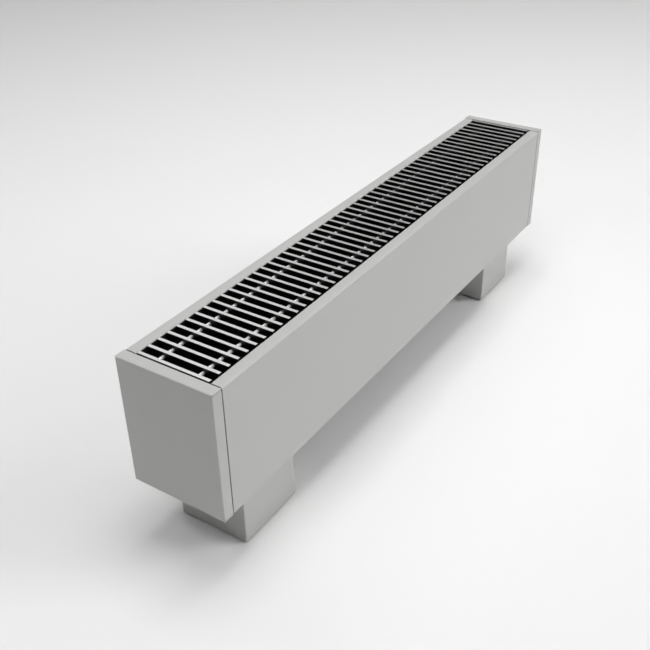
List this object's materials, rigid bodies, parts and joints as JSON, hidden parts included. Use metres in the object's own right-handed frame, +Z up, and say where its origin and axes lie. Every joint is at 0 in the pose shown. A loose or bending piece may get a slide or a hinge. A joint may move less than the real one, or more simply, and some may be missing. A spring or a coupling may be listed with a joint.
{
  "type": "low electric radiator",
  "caption": "Long low convector radiator: folded sheet-steel casing on boxy legs, with a lift-off bar grille on top and a finned electric heating element inside.",
  "frame": {"origin": "on the floor, under the middle of the casing", "axes": "+X along the casing towards the end with the connection box, +Z up, and the front panel faces -Y"},
  "size_m": [1, 0.153, 0.3],
  "materials": {
    "painted_sheet": "satin light grey powder coat",
    "galvanised_sheet": "galvanised",
    "black_sheet": "matt black",
    "grille_aluminium": "satin anodised",
    "fin_aluminium": "plain",
    "zinc_steel": "zinc plated",
    "element_steel": "plain stainless",
    "rubber": "matt",
    "brass": "plain",
    "ceramic": "glazed steatite",
    "dark_plastic": "moulded",
    "red_plastic": "moulded",
    "brown_insulation": "heat-resistant insulation",
    "blue_insulation": "heat-resistant insulation",
    "green_yellow_insulation": "heat-resistant insulation",
    "copper": "drawn copper"
  },
  "bodies": {
    "root": {"front_panel": "painted_sheet", "rear_panel": "painted_sheet", "end_cap_left": "painted_sheet", "end_cap_right": "painted_sheet", "bulkhead_left": "black_sheet", "bulkhead_right": "black_sheet", "cap_nuts": "zinc_steel", "panel_screws": "zinc_steel", "saddle_left": "galvanised_sheet", "saddle_right": "galvanised_sheet", "leg_frame_left": "galvanised_sheet", "leg_frame_right": "galvanised_sheet", "leg_cover_left": "painted_sheet", "leg_cover_right": "painted_sheet", "floor_pad_left": "rubber", "floor_pad_right": "rubber", "leg_bolts": "zinc_steel", "leg_nuts": "zinc_steel", "heat_shield_front": "black_sheet", "heat_shield_rear": "black_sheet", "shield_rivets": "zinc_steel", "rest_strip_front": "rubber", "rest_strip_rear": "rubber", "element_tube": "element_steel", "element_fins": "fin_aluminium", "element_bracket_left": "galvanised_sheet", "element_bracket_right": "galvanised_sheet", "bracket_screws": "zinc_steel", "element_bushings": "brass", "bushing_nuts": "brass", "terminal_insulators": "ceramic", "terminal_pins": "zinc_steel", "terminal_box": "galvanised_sheet", "terminal_lid": "galvanised_sheet", "lid_screws": "zinc_steel", "terminal_block": "ceramic", "clamp_screws": "zinc_steel", "earth_stud": "brass", "gland_body": "dark_plastic", "gland_locknut": "dark_plastic", "gland_seal": "rubber", "gland_cap": "dark_plastic", "cutout_housing": "dark_plastic", "cutout_nut": "zinc_steel", "heat_sensor": "copper", "sensor_grommet": "rubber", "supply_lead": "brown_insulation", "heater_lead": "brown_insulation", "return_lead": "blue_insulation", "earth_lead": "green_yellow_insulation"},
    "grille": {"grille_bars": "grille_aluminium", "grille_rods": "zinc_steel", "grille_sleeves": "grille_aluminium"},
    "reset_button": {"reset_button": "red_plastic"}
  },
  "joints": [
    {"name": "grille_lift", "type": "slide", "parent": "root", "child": "grille", "axis": [0, 0, 1], "range_m": [0, 0.1]},
    {"name": "reset_press", "type": "slide", "parent": "root", "child": "reset_button", "axis": [0, 0, -1], "range_m": [0, 0.0015], "stiffness_N_per_m": 400, "springref_m": -0.002}
  ]
}
